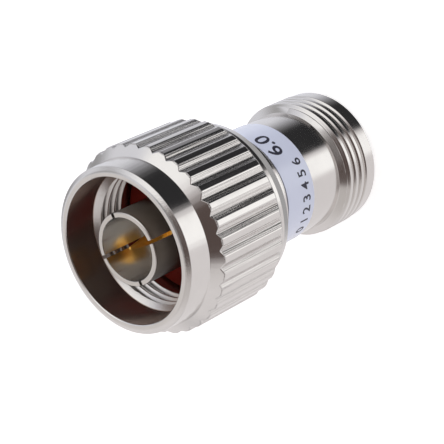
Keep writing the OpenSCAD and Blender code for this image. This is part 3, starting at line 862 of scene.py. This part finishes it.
class ATTENUATOR_OT_stage(bpy.types.Operator):
    """Set up the floor, the soft light and the camera"""

    bl_idname = "attenuator.stage"
    bl_label = "Stage"

    def execute(self, context):
        """A flat floor, a light tent given by direction, and the camera at the photograph's angle."""
        scene, stage = context.scene, context.scene.attenuator_stage
        self.floor(scene, stage)
        self.tent(scene, stage)
        scene.view_settings.view_transform = "Standard"
        lens = bpy.data.cameras.new("camera")
        lens.sensor_width, lens.lens = SENSOR, stage.lens
        lens.clip_start, lens.clip_end = 0.001, 10.0
        camera = bpy.data.objects.new("camera", lens)
        turn = Matrix(np.column_stack(CAMERA_AXES).tolist()).to_4x4()
        camera.matrix_world = Matrix.Translation(CAMERA_AT.tolist()) @ turn
        scene.collection.objects.link(camera)
        scene.camera = camera
        return {"FINISHED"}

    def floor(self, scene, stage):
        """A square floor under the jack's face, hidden from mirror reflections so that the tent shows in the metal."""
        mesh = bpy.data.meshes.new("floor")
        corners = np.array([(-1, -1, 0), (1, -1, 0), (1, 1, 0), (-1, 1, 0)]) * FLOOR_HALF - (0, 0, FLOOR_DROP)
        mesh.from_pydata(corners, [], [(0, 1, 2, 3)])
        # Uncoated paper: matt white, with a faint cloud of fibres.
        tree, shader, place = start_finish("pale paper floor", Roughness=0.9)
        fibre = add(tree, "TexNoise", {"Vector": place, "Scale": 1 / (6 * MM), "Detail": 3.0})
        tint = add(tree, "Mix", {
            "Factor": fibre.outputs["Fac"], 6: (*stage.floor, 1), 7: (*np.array(stage.floor) * 0.98, 1)},
            data_type="RGBA")
        tree.links.new(tint.outputs[2], shader.inputs["Base Color"])
        tree.links.new(tint.outputs[2], shader.inputs["Emission Color"])
        shader.inputs["Emission Strength"].default_value = FLOOR_GLOW
        mesh.materials.append(bpy.data.materials["pale paper floor"])
        floor = bpy.data.objects.new("floor", mesh)
        floor.visible_glossy = False
        scene.collection.objects.link(floor)

    def tent(self, scene, stage):
        """Light by direction: a pale tent with soft-edged panels, each between two compass angles and two heights."""
        world = bpy.data.worlds.new("light tent")
        scene.world = world
        world.use_nodes = True
        tree = world.node_tree
        tree.nodes.clear()
        way = add(tree, "SeparateXYZ", {0: add(tree, "TexCoord").outputs["Generated"]})
        compass = add(tree, "Math", {0: way.outputs["Y"], 1: way.outputs["X"]}, operation="ARCTAN2").outputs[0]
        tilt = add(tree, "Math", {0: way.outputs["Z"]}, operation="ARCSINE").outputs[0]
        shade = (0.81, 0.782, 0.792, 1)
        panels = (
            # colour, compass from and to with their soft widths, height from and to with their soft widths
            # Cool daylight from +X, and a slightly dimmer patch that the rim's flat face mirrors
            ((0.80, 0.81, 0.87), (-10, 20, 84, 16), (-100, 1, 100, 1)),
            ((0.72, 0.69, 0.68), (64, 10, 116, 10), (28, 8, 62, 8)),
            # Greyer cloth above -X, on both sides of the place where the compass starts again
            ((0.60, 0.57, 0.56), (126, 14, 200, 1), (38, 12, 72, 6)),
            ((0.60, 0.57, 0.56), (-200, 1, -158, 8), (38, 12, 72, 6)),
            # A black flag and a bright strip low at the front, which stripe every upright wall
            ((0.03, 0.03, 0.032), (-76, 5, 8, 28), (-72, 6, 6, 14)),
            ((1.20, 1.20, 1.20), (-122, 8, -84, 4), (-72, 6, -26, 8)),
            # Dim bottom and top
            ((0.42, 0.42, 0.43), (-200, 1, 200, 1), (-100, 1, -62, 8)),
            ((0.27, 0.26, 0.26), (-200, 1, 200, 1), (70, 8, 100, 1)),
            # The dark side of the room behind the camera, wider at its top, which darkens the cones and the rim
            ((0.105, 0.078, 0.072), (-154, 9, -68, 18), (0, 12, 74, 4)),
            ((0.105, 0.078, 0.072), (-176, 5, -54, 10), (56, 5, 74, 4)),
            # Half-dark and bright cloth beside it, which band the cones towards +X
            ((0.42, 0.42, 0.43), (24, 10, 60, 10), (26, 8, 50, 8)),
            ((1.10, 1.10, 1.10), (-50, 12, 6, 10), (22, 8, 66, 8)),
            # Dim seams at about the height of the object
            ((0.35, 0.35, 0.36), (44, 14, 80, 14), (-16, 8, 6, 8)),
            ((0.35, 0.35, 0.36), (138, 14, 166, 10), (-16, 8, 6, 8)),
        )
        for tone, around, heights in panels:
            mask = 1.0
            for value, (low, low_soft, high, high_soft) in ((compass, around), (tilt, heights)):
                for middle, soft, start in ((low, low_soft, 0.0), (high, high_soft, 1.0)):
                    ramp = add(tree, "MapRange", {
                        "Value": value, "From Min": math.radians(middle - soft),
                        "From Max": math.radians(middle + soft), "To Min": start, "To Max": 1 - start},
                        interpolation_type="SMOOTHSTEP").outputs[0]
                    mask = add(tree, "Math", {0: mask, 1: ramp}, operation="MULTIPLY").outputs[0]
            shade = add(tree, "Mix", {"Factor": mask, 6: shade, 7: (*tone, 1)}, data_type="RGBA").outputs[2]
        seen = add(tree, "LightPath").outputs["Is Camera Ray"]
        shade = add(tree, "Mix", {"Factor": seen, 6: shade, 7: (1, 1, 1, 1)}, data_type="RGBA").outputs[2]
        glow = add(tree, "Background", {"Color": shade, "Strength": stage.light})
        add(tree, "OutputWorld", {"Surface": glow.outputs[0]})


class ATTENUATOR_PT_panel(bpy.types.Panel):
    """The attenuator's pieces and sizes"""

    bl_label = "Coaxial attenuator"
    bl_space_type = "VIEW_3D"
    bl_region_type = "UI"
    bl_category = "Attenuator"

    def draw(self, context):
        """One button for each operator, then each group's values."""
        for operator in OPERATORS:
            self.layout.operator(operator.bl_idname)
        for part in GROUPS:
            box = self.layout.box()
            box.label(text=part.capitalize())
            values = getattr(context.scene, "attenuator_" + part)
            for field in GROUPS[part].__annotations__:
                box.prop(values, field)


OPERATORS = (
    ATTENUATOR_OT_jack, ATTENUATOR_OT_barrel, ATTENUATOR_OT_nut, ATTENUATOR_OT_sleeve, ATTENUATOR_OT_contacts,
    ATTENUATOR_OT_insulators, ATTENUATOR_OT_label, ATTENUATOR_OT_inside, ATTENUATOR_OT_stage)
GROUPS = {
    "thread": ThreadSizes, "jack": JackSizes, "line": LineSizes, "plug": PlugSizes, "nut": NutSizes,
    "label": LabelSizes, "colours": FinishColours, "stage": StageSettings}


def register():
    """Registers the classes and gives the scene its groups of values."""
    for kind in (*GROUPS.values(), *OPERATORS, ATTENUATOR_PT_panel):
        bpy.utils.register_class(kind)
    for part, group in GROUPS.items():
        setattr(bpy.types.Scene, "attenuator_" + part, PointerProperty(type=group))


def unregister():
    """Takes the groups and classes away again."""
    for part in GROUPS:
        delattr(bpy.types.Scene, "attenuator_" + part)
    for kind in reversed((*GROUPS.values(), *OPERATORS, ATTENUATOR_PT_panel)):
        bpy.utils.unregister_class(kind)


def main():
    """Registers the add-on, then builds every piece in order."""
    register()
    for operator in OPERATORS:
        getattr(bpy.ops.attenuator, operator.bl_idname.split(".")[1])()


if __name__ == "__main__":
    main()
